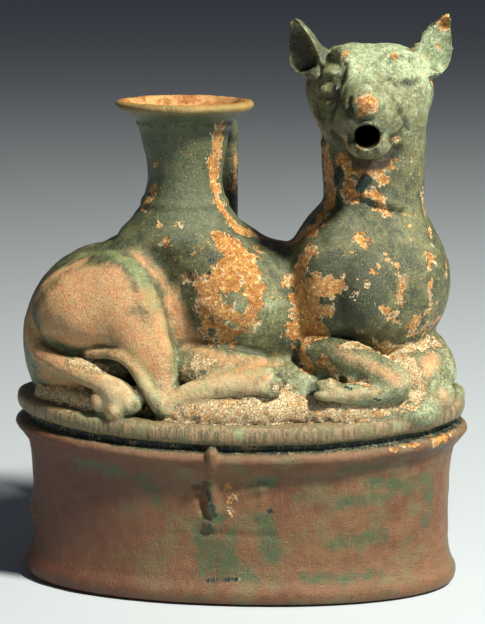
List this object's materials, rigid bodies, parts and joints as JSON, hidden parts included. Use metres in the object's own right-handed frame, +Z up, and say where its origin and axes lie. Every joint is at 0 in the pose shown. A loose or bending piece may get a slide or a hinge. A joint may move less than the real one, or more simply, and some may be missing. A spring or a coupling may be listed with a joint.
{
  "type": "dog-shaped askos",
  "caption": "Hollow glazed earthenware pouring vessel shaped as a reclining dog on an oval plinth, filled through a flared neck on its back and poured from the mouth.",
  "frame": {"origin": "centre of the plinth's underside, on the surface that it stands on", "axes": "+Z up, +X along the dog towards its chest and head, -Y the flank and the face that look at the viewer"},
  "size_m": [0.1342, 0.0664, 0.1677],
  "materials": {
    "glazed_clay": "worn green lead glaze over pinkish clay, peeled to ochre patches, satin"
  },
  "bodies": {
    "root": {"askos": "glazed_clay"}
  },
  "joints": []
}
